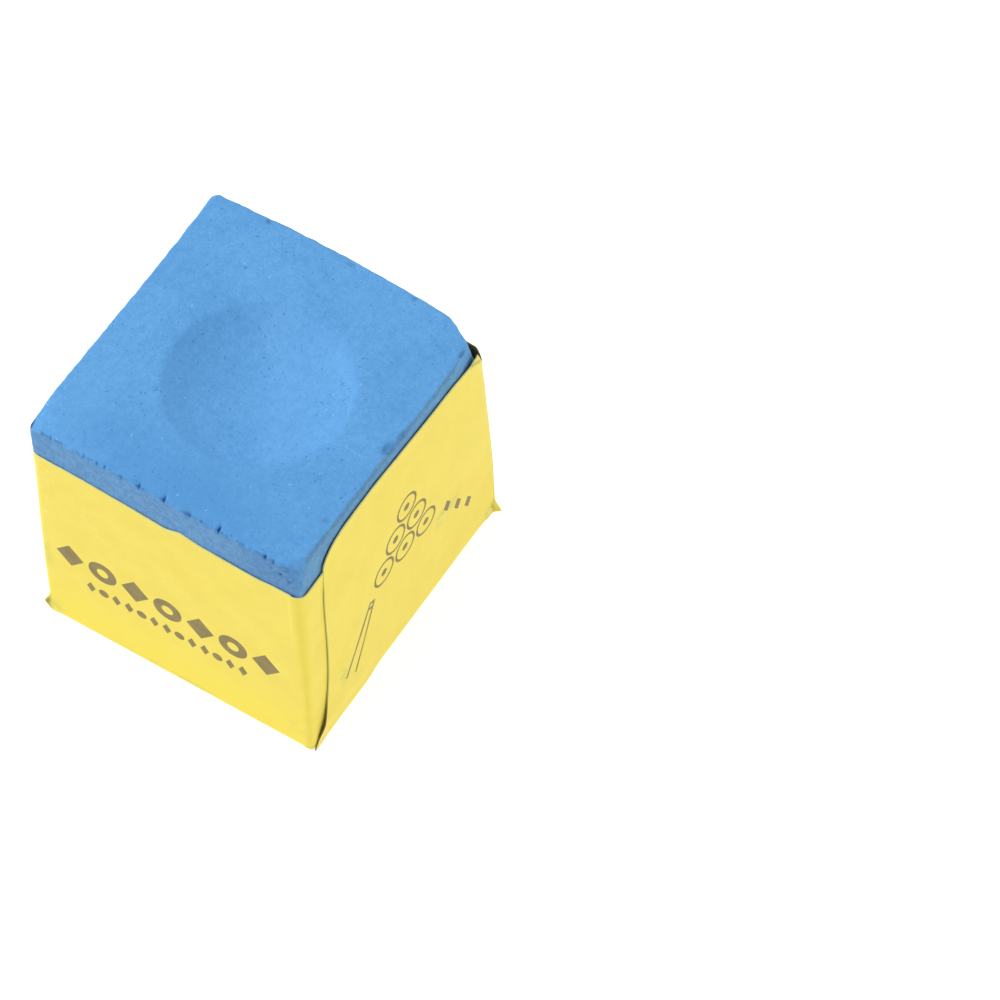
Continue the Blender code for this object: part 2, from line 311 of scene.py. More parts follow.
def chalk_material():
    """Mottled, grainy chalk; its marks say where it is rough and nicked and where it is darker towards the
    front, and where light is painted: yellow bounce light from the paper on the right side, and shade and
    light on the dish's two halves.
    """
    chalk = Surface("pressed_blue_chalk", 0.95, 0.15)
    deep, pale, darker_front_and_dish_shade = (0.098, 0.323, 0.674), (0.160, 0.436, 0.828), (0.090, 0.306, 0.654)
    navy, dust, painted_dish_light = (0.015, 0.062, 0.205), (0.45, 0.68, 0.90), (0.205, 0.500, 0.915)
    grey_blue, paper_bounce_blue = (0.153, 0.327, 0.563), (0.156, 0.334, 0.486)

    clouds = chalk.band(chalk.noise(0.16, 4.0, 0.55), 0.35, 0.68)
    mottle = chalk.band(chalk.noise(1.7, 6.0, 0.85), 0.36, 0.64)
    colour = chalk.blend(0.62, chalk.blend(clouds, deep, pale), chalk.blend(mottle, deep, pale))
    streaks = chalk.band(chalk.noise(1.1, 3.0, 0.6, stretch=(2.6, 0.28, 1.0)), 0.42, 0.7, 0.0, 0.20)
    colour = chalk.blend(streaks, colour, pale)
    grain = chalk.noise(6.0, 4.0, 0.75)
    colour = chalk.blend(chalk.band(grain, 0.38, 0.58, 0.42, 0.0), colour, deep)
    colour = chalk.blend(chalk.band(grain, 0.54, 0.68, 0.0, 0.40), colour, pale)
    blotches = chalk.band(chalk.noise(1.6, 4.0, 0.7), 0.56, 0.72, 0.0, 0.22)
    colour = chalk.blend(blotches, colour, deep)
    # painted shade on the half of the dish that faces away from the light, and the darker front of the top
    colour = chalk.blend(chalk.mark("darker_front_and_dish_shade"), colour, darker_front_and_dish_shade)
    # painted light on the half of the dish that faces the light
    colour = chalk.blend(chalk.mark("painted_dish_light"), colour, painted_dish_light)

    uneven = chalk.band(chalk.noise(0.9, 4.0, 0.6), 0.25, 0.7, 1.0, 0.72)
    flank = chalk.math("MULTIPLY", chalk.mark("flank"), uneven)
    # the right side is painted greener: painted yellow bounce light from the paper
    side_colour = chalk.blend(chalk.mark("painted_paper_bounce"), grey_blue, paper_bounce_blue)
    speckled = chalk.band(chalk.noise(2.4, 5.0, 0.85), 0.38, 0.60, 0.75, 0.0)
    side_colour = chalk.blend(speckled, side_colour, (0.090, 0.218, 0.450))
    powdery = chalk.band(chalk.noise(1.3, 5.0, 0.75), 0.54, 0.70, 0.0, 0.55)
    side_colour = chalk.blend(powdery, side_colour, (0.212, 0.402, 0.640))
    colour = chalk.blend(flank, colour, side_colour)

    sparse = chalk.band(chalk.noise(0.36, 3.0, 0.6), 0.42, 0.62, 0.0, 0.38)
    specks = chalk.band(chalk.cells(2.9), 0.08, 0.20, 1.0, 0.0)
    colour = chalk.blend(chalk.math("MULTIPLY", specks, sparse), colour, navy)
    pores = chalk.band(chalk.cells(1.1), 0.05, 0.10, 1.0, 0.0)
    colour = chalk.blend(chalk.math("MULTIPLY", pores, 0.40), colour, navy)
    crystals = chalk.band(chalk.cells(0.95), 0.035, 0.085, 1.0, 0.0)
    colour = chalk.blend(chalk.math("MULTIPLY", crystals, 0.45), colour, dust)

    ragged = chalk.band(chalk.noise(1.1, 4.0, 0.7), 0.42, 0.60)
    rim = chalk.math("MULTIPLY", chalk.mark("rim"), ragged)
    colour = chalk.blend(chalk.math("MULTIPLY", rim, 0.60), colour, navy)
    broken = chalk.band(chalk.noise(3.5, 3.0, 0.7), 0.30, 0.55, 0.35, 1.0)
    colour = chalk.blend(chalk.math("MULTIPLY", chalk.mark("nick"), broken), colour, navy)

    holes = chalk.math("MULTIPLY", chalk.math("MAXIMUM", specks, pores), 0.5)
    height = chalk.math("SUBTRACT", chalk.math("MULTIPLY", grain, 0.9), holes)
    roughness = chalk.band(grain, 0.3, 0.7, 0.88, 1.0)
    return chalk.finish(colour, roughness, height, 0.030)


def paper_face(paper):
    """Colour of the coated yellow side, with its mottling, smudges and scuffs, and painted shade at its
    folds and in its creases.
    """
    yellow, deep, worn = (0.878, 0.716, 0.100), (0.842, 0.677, 0.084), (0.780, 0.650, 0.050)
    pale, smudge = (0.93, 0.88, 0.52), (0.42, 0.50, 0.16)
    mottle = paper.band(paper.noise(0.35, 4.0, 0.6), 0.3, 0.7)
    colour = paper.blend(mottle, yellow, deep)
    colour = paper.blend(paper.mark("unfaded"), colour, (0.900, 0.738, 0.060))
    fibres = paper.noise(7.0, 3.0, 0.6)
    colour = paper.blend(paper.band(fibres, 0.3, 0.7, 0.10, 0.0), colour, worn)
    # painted shade along the rounded folds, in the darker yellow
    colour = paper.blend(paper.mark("fold"), colour, worn)
    patches = paper.band(paper.noise(1.3, 4.0, 0.65), 0.38, 0.66)
    dirt = paper.math("MULTIPLY", paper.mark("smudge"), patches)
    colour = paper.blend(dirt, colour, smudge)
    scratches = paper.band(paper.noise(1.7, 2.0, 0.6, stretch=(1.5, 1.5, 4.2)), 0.62, 0.72)
    flecks = paper.band(paper.noise(3.4, 2.0, 0.6), 0.62, 0.72)
    bare = paper.math("MULTIPLY", paper.math("MAXIMUM", scratches, flecks), paper.mark("scuff"))
    colour = paper.blend(bare, colour, pale)
    # painted shade in the creases, dark brown
    return paper.blend(paper.mark("crease"), colour, (0.110, 0.085, 0.012)), fibres


def paper_material():
    paper = Surface("coated_yellow_paper", 0.5, 0.25)
    colour, fibres = paper_face(paper)
    return paper.finish(colour, paper.band(fibres, 0.3, 0.7, 0.42, 0.58), fibres, 0.006)


def ink_material():
    ink = Surface("brown_grey_ink", 0.5, 0.25)
    colour, fibres = paper_face(ink)
    cover = ink.band(ink.noise(4.5, 3.0, 0.7), 0.66, 0.78, 0.92, 0.25)
    dark, light = (0.168, 0.124, 0.050), (0.213, 0.159, 0.064)
    shade = ink.blend(ink.band(ink.noise(1.2, 3.0), 0.3, 0.7), dark, light)
    roughness = ink.band(fibres, 0.3, 0.7, 0.45, 0.6)
    return ink.finish(ink.blend(cover, colour, shade), roughness, fibres, 0.006)


def inside_painted_shade_material():
    inside = Surface("paper_back_painted_shade", 0.85, 0.15)
    fibres = inside.noise(5.0, 4.0, 0.65)
    # the back of the sheet is painted dark brown: painted shade for the narrow gaps between the paper and
    # the chalk
    colour = inside.blend(inside.band(fibres, 0.3, 0.7), (0.150, 0.105, 0.045), (0.245, 0.180, 0.080))
    chalky = inside.band(inside.noise(0.8, 3.0), 0.5, 0.75, 0.0, 0.5)
    return inside.finish(inside.blend(chalky, colour, (0.07, 0.13, 0.20)), None, fibres, 0.012)


def cut_edge_material():
    edge = Surface("cut_paper_edge", 0.8, 0.15)
    fibres = edge.noise(6.0, 3.0, 0.7)
    colour = edge.blend(edge.band(fibres, 0.3, 0.7), (0.83, 0.82, 0.34), (0.94, 0.94, 0.54))
    # painted shade on the cut edge along the open seam, darker towards its foot, and at the back right
    # corner's opening
    colour = edge.blend(edge.mark("seam"), colour, (0.060, 0.040, 0.004))
    return edge.finish(colour, None, fibres, 0.010)


def glue_material():
    glue = Surface("dried_paste", 0.4, 0.4)
    lumps = glue.noise(1.6, 4.0, 0.6)
    colour = glue.blend(glue.band(lumps, 0.3, 0.7), (0.52, 0.40, 0.20), (0.78, 0.70, 0.48))
    return glue.finish(colour, glue.band(lumps, 0.3, 0.7, 0.3, 0.6), lumps, 0.02)


def floor_material():
    floor = Surface("pale_floor", 0.9, 0.1)
    floor.shader.inputs["Emission Color"].default_value = (1, 1, 1, 1)
    floor.shader.inputs["Emission Strength"].default_value = 0.75
    return floor.finish((0.55, 0.55, 0.55))


# ------------------------ chalk block


def top_height(place):
    return TOP_MEAN + TOP_SKEW * (place / BLOCK_HALF).sum(axis=1) / -2


def block_skin():
    """The block's skin before shaping: plan places, depths below the top, and faces."""
    columns = np.linspace(-BLOCK_HALF[0], BLOCK_HALF[0], TOP_COLUMNS + 1)
    band = FRONT_BAND - BLOCK_HALF[1]
    rows = np.linspace(-BLOCK_HALF[1], band, FRONT_ROWS + 1)[:-1].tolist()
    rows += np.linspace(band, BLOCK_HALF[1], TOP_ROWS - FRONT_ROWS + 1).tolist()
    place = [(x, y) for x in columns for y in rows]
    stride = TOP_ROWS + 1
    faces = []
    for column in range(TOP_COLUMNS):
        for row in range(TOP_ROWS):
            first = column * stride + row
            faces.append((first, first + stride, first + stride + 1, first + 1))
    ring = [column * stride for column in range(TOP_COLUMNS)]
    ring += [TOP_COLUMNS * stride + row for row in range(TOP_ROWS)]
    ring += [column * stride + TOP_ROWS for column in range(TOP_COLUMNS, 0, -1)]
    ring += range(TOP_ROWS, 0, -1)

    height = TOP_MEAN - BLOCK_BASE
    fine = np.linspace(0, FINE_DEPTH, FINE_RINGS + 1)[1:]
    coarse = np.linspace(FINE_DEPTH, height, COARSE_RINGS + 1)[1:]
    depth = [0.0] * len(place)
    outline = [place[index] for index in ring]
    above = ring
    for level in (*fine, *coarse):
        below = list(range(len(place), len(place) + len(ring)))
        place += outline
        depth += [level] * len(ring)
        for index in range(len(ring)):
            following = (index + 1) % len(ring)
            faces.append((above[index], below[index], below[following], above[following]))
        above = below
    faces.append(tuple(reversed(above)))
    return np.array(place), np.array(depth), faces


def round_edges(place, depth):
    """Rounds the upright corners and the edge round the top.

    Gives the shaped places and depths, the inset from the sides, the outward direction of the
    nearest side, and how far each point lies over the rounded edge, from 0 to 1.
    """
    side = np.where(place < 0, -1.0, 1.0)
    inner = BLOCK_HALF - UPRIGHT_RADIUS
    reach = np.maximum(np.abs(place) - inner, 0)
    length = np.maximum(np.hypot(*reach.T), 1e-9)
    gaps = BLOCK_HALF - np.abs(place)
    inset = gaps.min(axis=1)
    corner = (reach > 0).all(axis=1)
    nearest = np.column_stack([gaps[:, 0] <= gaps[:, 1], gaps[:, 0] > gaps[:, 1]])
    outward = side * np.where(corner[:, None], reach / length[:, None], nearest)
    shrink = np.where(corner, reach.max(axis=1) / length, 1.0)
    place = side * (np.minimum(np.abs(place), inner) + reach * shrink[:, None])

    radius = EDGE_RADIUS * (1 + 0.5 * wander(place, 2.1, 1) + 0.3 * wander(place, 0.7, 2))
    radius += RIGHT_WEAR * np.maximum(outward[:, 0], 0) ** 2 * (1 + 0.35 * wander(place, 2.6, 9))
    across = np.maximum(radius - inset, 0)
    down = np.maximum(radius - depth, 0)
    on_edge = (across > 0) & (down > 0)
    keep = np.where(on_edge, np.maximum(across, down) / np.maximum(np.hypot(across, down), 1e-9), 1.0)
    place = place - outward * (across * (1 - keep))[:, None]
    return place, depth + down * (1 - keep), inset, outward, across / radius


# Broken and worn corners: side of the block, lengths lost along the three edges, softness, roughness
LOST_CORNERS = (
    ((1, 1), (2.4, 1.3, 7.0), 0.03, 0.06),
    ((1, 1), (0.75, 3.2, 5.0), 0.04, 0.05),
    ((1, -1), (2.1, 1.3, 2.6), 0.12, 0.09),
    ((-1, 1), (0.35, 0.4, 0.35), 0.08, 0.04),
    ((-1, -1), (2.2, 3.0, 0.7), 0.20, 0.06),
)

# Nicks in the front edge: place along it, width, reach into the top, depth, darkness
FRONT_NICKS = (
    (-9.8, 0.10, 0.20, 0.08, 0.50),
    (-9.1, 0.12, 0.20, 0.10, 0.60),
    (-8.2, 0.10, 0.16, 0.06, 0.40),
    (-6.4, 0.11, 0.24, 0.08, 0.50),
    (-5.3, 0.12, 0.20, 0.10, 0.55),
    (-4.7, 0.10, 0.28, 0.12, 0.60),
    (-3.3, 0.10, 0.18, 0.08, 0.45),
    (-1.9, 0.11, 0.32, 0.16, 0.85),
    (0.1, 0.12, 0.42, 0.22, 0.95),
    (2.15, 0.26, 0.24, 0.14, 0.70),
    (3.2, 0.12, 0.16, 0.08, 0.45),
    (4.55, 0.12, 0.45, 0.24, 1.00),
    (6.6, 0.22, 0.18, 0.10, 0.35),
    (8.3, 0.16, 0.22, 0.18, 0.95),
    (9.0, 0.14, 0.18, 0.16, 0.90),
)
# Nicks in the other edges: plan place, width, reach into the top, depth, darkness
OTHER_NICKS = (
    (-11.1, -6.2, 0.22, 0.18, 0.12, 0.20),
    (-11.1, 1.8, 0.30, 0.20, 0.14, 0.20),
    (-11.1, 6.7, 0.22, 0.22, 0.12, 0.25),
    (-6.4, 11.4, 0.25, 0.25, 0.12, 0.35),
    (0.4, 11.4, 0.40, 0.20, 0.14, 0.25),
    (5.6, 11.4, 0.25, 0.25, 0.10, 0.25),
    (10.7, 9.5, 0.50, 0.12, 0.18, 0.55),
    (10.7, 0.2, 0.75, 0.42, 0.12, 0.42),
    (10.85, 1.5, 0.65, 0.20, 0.08, 0.30),
    (10.4, -6.9, 0.30, 0.30, 0.10, 0.20),
)

# Small holes in the front side: place along it, height, radius, depth, darkness
FRONT_PITS = (
    (-10.85, 23.2, 0.17, 0.10, 0.90),
    (-9.0, 21.9, 0.16, 0.06, 0.30),
    (-2.6, 21.3, 0.14, 0.06, 0.35),
    (6.55, 22.0, 0.11, 0.06, 0.50),
    (7.1, 20.9, 0.11, 0.06, 0.45),
    (8.8, 21.8, 0.14, 0.08, 0.60),
    (9.5, 21.6, 0.19, 0.12, 0.85),
    (9.9, 22.1, 0.12, 0.08, 0.50),
    (10.2, 21.1, 0.15, 0.10, 0.85),
)


def lose_corners(points):
    """Presses what lies beyond each broken or worn corner's face back to that face."""
    broken = np.zeros(len(points))
    for side, lengths, softness, roughness in LOST_CORNERS:
        side = np.array(side)
        plan = BLOCK_HALF * side
        corner = np.array([*plan, top_height(plan[None])[0]])
        slope = np.array([*side, 1]) / np.array(lengths)
        size = np.linalg.norm(slope)
        beyond = ((points - corner) @ slope + 1) / size
        near = beyond > -1.0
        ripple = np.zeros(len(points))
        ripple[near] = wander(points[near], 1.1, 5) + 0.5 * wander(points[near], 0.42, 6)
        pressed = soft_positive(beyond + ripple * roughness, softness)
        pressed[beyond < -0.8] = 0
        points = points - np.outer(pressed, slope / size)
        broken = np.maximum(broken, smooth(pressed, 0.0, 0.25))
    return points, broken


def cut_nicks(points, depth):
    """Dents the top edge and the front side, and says how dark each point is there."""
    darkness = np.zeros(len(points))
    front = [(x, -BLOCK_HALF[1], *sizes) for x, *sizes in FRONT_NICKS]
    for x, y, along, into, sink, dark in (*front, *OTHER_NICKS):
        on_front_or_back = abs(y) > abs(x)
        widths = (along, into) if on_front_or_back else (into, along)
        inward = -np.sign((0, y) if on_front_or_back else (x, 0))
        dent = bell(points[:, 0] - x, widths[0]) * bell(points[:, 1] - y, widths[1])
        dent *= np.exp(-depth / 0.35)
        points[:, 2] -= sink * dent
        points[:, :2] += 0.5 * sink * dent[:, None] * inward
        darkness = np.maximum(darkness, dark * smooth(dent, 0.25, 0.75))
    at_front = smooth(-points[:, 1], BLOCK_HALF[1] - 2.2, BLOCK_HALF[1] - 1.4)
    for x, height, radius, sink, dark in FRONT_PITS:
        away = np.hypot(points[:, 0] - x, points[:, 2] - height)
        dent = bell(away, radius) * at_front
        points[:, 1] += sink * dent
        darkness = np.maximum(darkness, dark * smooth(dent, 0.3, 0.8))
    return points, darkness


def shape_skin(place, depth, inset, outward):
    """The block's points, with bowed and ragged sides, a worn front edge and the dish.

    Also gives each point's distance from the dish's middle, and how much it lies on the top.
    """
    edge = bell(inset, 0.5) * np.exp(-depth / 0.6)
    ragged = 0.03 + 0.05 * np.maximum(outward @ np.array([-0.7, 0.7]), 0)
    wave = 0.5 * wander(place, 3.1, 10) + 0.7 * wander(place, 1.1, 3) + 0.6 * wander(place, 0.42, 4)
    along = 1 - (place / BLOCK_HALF) ** 2
    bow = BACK_BOW * np.maximum(outward[:, 1], 0) * along[:, 0]
    bow += LEFT_BOW * np.maximum(-outward[:, 0], 0) * along[:, 1]
    bow += RIGHT_BOW * np.maximum(outward[:, 0], 0)
    bow *= smooth(-inset, -4, 0) * smooth(-depth, -2.4, -1.2)
    rise = BACK_RISE * along[:, 0] * smooth(place[:, 1], 4, BLOCK_HALF[1]) * smooth(-depth, -1.5, 0)
    rise -= FRONT_DROOP * np.clip(1 - (place[:, 1] + BLOCK_HALF[1]) / 2.2, 0, 1) ** 2
    from_corner = np.hypot(*(place - BLOCK_HALF * (-1, 1)).T)
    pointed = BACK_LEFT_POINT * bell(from_corner, 0.7) * smooth(-depth, -1.8, -0.6)
    place = place + outward * (ragged * wave * edge + bow)[:, None] + pointed[:, None] * (-0.7, 0.7)

    top = top_height(place) + rise
    down = top - depth * (top - BLOCK_BASE) / (TOP_MEAN - BLOCK_BASE)
    points = np.column_stack([place, down])

    on_top = smooth(-depth, -0.25, 0.0)
    ball_radius = (DISH_RADIUS**2 + DISH_DEPTH**2) / (2 * DISH_DEPTH)
    out = np.hypot(*(place + BLOCK_MIDDLE[:2] - DISH_CENTRE).T)
    bowl = np.sqrt(np.maximum(ball_radius**2 - out**2, 0)) - (ball_radius - DISH_DEPTH)
    dish = soft_positive(bowl, DISH_RIM) * on_top * smooth(-out, -DISH_RADIUS - 1.2, -DISH_RADIUS)
    points[:, 2] -= dish
    return points, out, on_top


def dish_painted_shading(points, out, on_top):
    """Painted shade and painted light in the dish: the half that faces away from the light is painted
    darker, the half that faces it lighter.
    """
    across = (points[:, :2] - DISH_CENTRE) @ np.array([0.82, 0.57])
    in_dish = smooth(-out, -DISH_RADIUS, -DISH_RADIUS + 0.5) * on_top
    swept = smooth(across + 0.6 * wander(points, 2.0, 15), -0.8, 1.5)
    return 0.10 * in_dish * (1 - swept), 0.17 * in_dish * swept


def chalk_piece():
    """The block: a skin with rounded edges, bent to shape, broken, nicked and roughened."""
    place, depth, faces = block_skin()
    place, depth, inset, outward, over_edge = round_edges(place, depth)
    points, out, on_top = shape_skin(place, depth, inset, outward)
    points, broken = lose_corners(points)
    points, nick = cut_nicks(points, depth)

    relief = 0.022 * wander(points, 2.6, 7) + 0.014 * wander(points, 0.55, 8)
    free = smooth(-depth, -5.0, -3.5)
    points[:, 2] += relief * on_top
    points[:, :2] += outward * (relief * (1 - on_top) * free)[:, None]
    points[:, :2] += BLOCK_MIDDLE[:2]

    rightward = np.maximum(outward[:, 0], 0) ** 2
    frontward = np.maximum(-outward[:, 1], 0)
    ragged_edge = over_edge + 0.22 * wander(points, 0.9, 12) + 0.12 * wander(points, 0.35, 13)
    worn = smooth(ragged_edge, 0.12, 0.42) * rightward
    side = np.maximum(smooth(depth, 0.05, 0.22), worn)
    # the front side is darker towards its right end
    front_right_darkening = 0.22 * side * frontward * smooth(points[:, 0], 5.0, 8.5)
    rim = bell(inset, 0.10) * np.exp(-depth / 0.12)
    # the top is darker towards the middle of its front edge
    front_darkening = 0.62 * bell(points[:, 0] - 1.0, 7.5) * bell(points[:, 1] + 10.0, 4.2)
    # painted shade and painted light on the dish's two halves
    painted_dish_shade, painted_dish_light = dish_painted_shading(points, out, on_top)
    marks = {
        "flank": side * (1 - 0.5 * broken),
        # painted yellow bounce light from the paper on the right side
        "painted_paper_bounce": side * rightward,
        "rim": rim * (0.25 + 0.75 * frontward) * (1 - rightward),
        "nick": np.maximum(nick, front_right_darkening),
        "darker_front_and_dish_shade": np.maximum(front_darkening, painted_dish_shade),
        "painted_dish_light": painted_dish_light,
    }
    piece = make_piece("chalk", points, faces, [0] * len(faces), [chalk_material()], marks, 75)
    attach(piece, "root")
    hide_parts("chalk_block")


# ------------------------ the sheet laid flat

# Heights of the sheet's top edge above the base fold, along the walls from the front right corner
TAB_TOP = ((-TAB, 19.65), (-4.0, 19.7), (-1.2, 19.62), (0.0, 19.62))
FRONT_TOP = (
    (2.1, 19.60), (4.0, 19.44), (7.9, 19.63), (9.2, 19.83), (9.9, 19.95), (10.5, 19.72),
    (11.2, 19.52), (12.5, 19.68), (15.1, 19.90), (19.0, 20.13), (LEFT_FOLD, 20.2),
)
LEFT_TOP = ((27.0, 20.7), (33.0, 20.6), (39.5, 20.9), (BACK_FOLD, 20.9))
BACK_TOP = ((50.0, 21.0), (56.5, 20.8), (61.5, 20.9))
# The same from just before the back right corner, as distances past that corner
RIGHT_TOP = (
    (-1.8, 20.5), (-0.9, 20.4), (-0.55, 20.05), (-0.05, 19.7), (0.32, 20.0), (0.66, 20.95),
    (1.0, 20.95), (1.4, 21.03), (1.8, 21.05), (2.4, 21.1), (4.3, 21.37), (8.3, 21.57),
    (12.3, 21.88), (14.2, 22.02), (17.5, 21.98),
)
# The lapping end's trimmed corner and free edge, as distances from the front right corner
LAP_CUT = ((4.8, 21.85), (3.95, 21.6), (3.35, 21.12), (2.93, 20.6), (2.72, 20.1))
LAP_EDGE = (
    (2.66, 19.6), (2.5, 17.8), (2.38, 15.9), (2.34, 9.4),
    (2.06, 5.8), (1.42, 3.0), (0.65, 1.3), (0.08, 0.1),
)


def flap_outline(middle, root, tip, length):
    """A base flap's edge from its root end nearer the sheet's end round to the other."""
    step, turn = 0.5, 0.8
    corners = [
        (middle + root, 0.1),
        (middle + root - 0.25, -1.0),
        (middle + tip + 0.5, -length + turn),
        (middle + tip - turn, -length),
        (middle - tip + turn, -length),
        (middle - tip - 0.5, -length + turn),
        (middle - root + 0.25, -1.0),
        (middle - root, 0.1),
    ]
    outline = []
    for start, end in zip(corners, corners[1:]):
        outline += line(start, end, step)
    return outline + [np.array(corners[-1])]


def sheet_outline():
    """The flat sheet's edge, clockwise from the tab's lower corner."""
    step = 0.25
    right = [(RIGHT_FOLD + past, height) for past, height in RIGHT_TOP]
    top = [*TAB_TOP, *FRONT_TOP, *LEFT_TOP, *BACK_TOP, *right]
    lap = [(SHEET_END - away, height) for away, height in (*LAP_CUT, *LAP_EDGE)]
    outline = line((-TAB, 0.1), TAB_TOP[0], step)
    outline += curve_through([*top, *lap], step)
    ragged = wander(np.array(outline), 1.7, 11) * 0.03 + wander(np.array(outline), 0.5, 14) * 0.02
    for place, rough in zip(outline, ragged):
        if place[1] > 2.0:
            place[1] += rough

    narrow = FLAP_ROOT - 0.4
    flaps = (
        (SHEET_END - SIDE_WIDTH / 2, narrow, narrow - 0.3, SIDE_FLAP),
        (BACK_FOLD + BACK_WIDTH / 2, FLAP_ROOT, TIP, BACK_FLAP),
        (LEFT_FOLD + SIDE_WIDTH / 2, narrow, narrow - 0.3, SIDE_FLAP),
        (FRONT_WIDTH / 2, FLAP_ROOT, TIP, FRONT_FLAP),
    )
    for middle, root, tip, length in flaps:
        flap = flap_outline(middle, root, tip, length)
        outline += line(outline[-1], flap[0], step)[1:]
        outline += flap
    outline += line(outline[-1], (-TAB, 0.1), step)[1:]
    return np.array(outline)


# ------------------------ the print


def ring_of(centre, radius, sides=40):
    angles = np.arange(sides) / sides * 2 * math.pi
    return np.array(centre) + radius * np.column_stack([np.cos(angles), np.sin(angles)])


def lozenge(centre, width, height):
    x, y = centre
    return np.array([(x - width / 2, y), (x, y - height / 2), (x + width / 2, y), (x, y + height / 2)])


def stroke(points, width):
    """The outline of a pen stroke through the points."""
    points = np.array(points, float)
    along = np.gradient(points, axis=0)
    along /= np.hypot(*along.T)[:, None]
    across = np.column_stack([-along[:, 1], along[:, 0]]) * width / 2
    return np.vstack([points - across, (points + across)[::-1]])


def row_of_shapes(middle):
    """Two rows of plain shapes, as (outline, hole) pairs in face coordinates."""
    shapes = []
    count, pitch = 7, 2.72
    for index in range(count):
        x = middle + (index - (count - 1) / 2) * pitch
        y = 8.85 - 0.031 * (x - middle)
        if index % 2:
            shapes.append((ring_of((x, y), 1.18), ring_of((x, y), 0.48, 24)))
        else:
            shapes.append((lozenge((x, y), 2.3, 2.6), None))
    count, pitch = 13, 1.06
    for index in range(count):
        x = middle - 0.25 + (index - (count - 1) / 2) * pitch
        y = 6.2 - 0.02 * (x - middle)
        if index % 3 == 1:
            shapes.append((ring_of((x, y), 0.42, 20), None))
        else:
            shapes.append((lozenge((x, y), 0.74, 1.25), None))
    return shapes


def balls_and_cue(middle, pen=0.23):
    """A line drawing of racked balls and a cue, as (outline, hole) pairs."""
    shapes = []
    radius, pitch = 1.12, 2.62
    heading = math.radians(24)
    along = np.array([math.cos(heading), math.sin(heading)])
    across = np.array([-along[1], along[0]])
    apex = np.array([middle - 2.3, 10.9])
    for row in range(3):
        for place in range(row + 1):
            ball = apex + along * row * pitch * 0.87 + across * (place - row / 2) * pitch
            shapes.append((ring_of(ball, radius + pen / 2, 36), ring_of(ball, radius - pen / 2, 36)))
            shapes.append((ring_of(ball, 0.34, 16), None))
    tip = np.array([middle - 3.9, 9.2])
    butt = np.array([middle - 7.0, 3.9])
    shaft = (tip - butt) / np.hypot(*(tip - butt))
    side = np.array([-shaft[1], shaft[0]])
    for sign in (-1, 1):
        shapes.append((stroke([butt + side * sign * 0.62, tip + side * sign * 0.3], pen), None))
    for back in (0.0, 0.5):
        half = 0.3 + pen / 2
        collar = tip - shaft * back
        shapes.append((stroke([collar - side * half, collar + side * half], pen), None))
    for index in range(3):
        shapes.append((lozenge((middle + 5.6 + index * 1.3, 8.7 - index * 1.5), 0.9, 1.4), None))
    return shapes


def mirrored(shapes, middle):
    """Shapes turned to read from outside, because the sheet runs from right to left."""

    def turned_over(part):
        return None if part is None else (part * (-1, 1) + (2 * middle, 0))[::-1]

    return [tuple(turned_over(part) for part in shape) for shape in shapes]


def all_print():
    faces = (
        (row_of_shapes, FRONT_WIDTH / 2 + 0.47),
        (balls_and_cue, LEFT_FOLD + SIDE_WIDTH / 2),
        (row_of_shapes, BACK_FOLD + BACK_WIDTH / 2),
        (balls_and_cue, RIGHT_FOLD + SIDE_WIDTH / 2),
    )
    shapes = []
    for draw, middle in faces:
        shapes += mirrored(draw(middle), middle)
    return shapes


# ------------------------ meshing the flat sheet


def grid_points():
    """Mesh points over the sheet, closer at its folds."""
    folds = np.array([0.0, LEFT_FOLD, BACK_FOLD, RIGHT_FOLD])
    along, place = [], -TAB
    while place < SHEET_END:
        along.append(place)
        place += FINE if np.abs(folds - place).min() < 1.6 else COARSE
    up, place = [], -FRONT_FLAP
    while place < BLOCK_HIGH[2]:
        up.append(place)
        if abs(place) < 0.5:
            place += FINE
        elif 0 < place < 3 or place > 19:
            place += COARSE / 2
        else:
            place += COARSE
    return np.array([(u, v) for u in along for v in up])


def inside(points, outline):
    """Whether each point lies inside the outline."""
    odd = np.zeros(len(points), bool)
    for (ax, ay), (bx, by) in zip(outline, np.roll(outline, -1, axis=0)):
        if ay == by:
            continue
        spans = (ay > points[:, 1]) != (by > points[:, 1])
        odd ^= spans & (points[:, 0] < ax + (points[:, 1] - ay) * (bx - ax) / (by - ay))
    return odd


def clear_of(points, others, gap):
    """Whether each point is at least a gap away from all the others."""
    clear = np.ones(len(points), bool)
    for other in others:
        near = np.abs(points - other).max(axis=1) < gap
        clear[near] = False
    return clear


def mesh_flat_sheet():
    """The flat sheet as triangles: places, triangles, and which triangles are inked."""
    outline = sheet_outline()[::-1]
    shapes = all_print()
    grid = grid_points()
    grid = grid[inside(grid, outline)]
    grid = grid[clear_of(grid, outline, 0.09)]
    loops, roles = [outline], ["sheet"]
    for number, (outer, hole) in enumerate(shapes):
        loops.append(outer)
        roles.append(("ink", number))
        if hole is not None:
            loops.append(hole)
            roles.append(("hole", number))
    points, faces = [], []
    for loop in loops:
        faces.append(list(range(len(points), len(points) + len(loop))))
        points += [Vector(place) for place in loop]
    points += [Vector(place) for place in grid]
    inner_triangles = 1
    places, _, triangles, _, _, sources = geometry.delaunay_2d_cdt(
        points, [], faces, inner_triangles, 1e-5
    )
    inked = []
    for found in sources:
        held = {roles[index] for index in found}
        numbers = {role[1] for role in held if role[0] == "ink"}
        inked.append(any(("hole", number) not in held for number in numbers))
    places = np.array([tuple(place) for place in places])
    triangles = np.array([tuple(triangle) for triangle in triangles])
    a, b, c = (places[triangles[:, index]] for index in range(3))
    turn = np.cross(b - a, c - a)
    triangles[turn < 0] = triangles[turn < 0][:, ::-1]
    return places, triangles, np.array(inked)


# ------------------------ folding the sheet


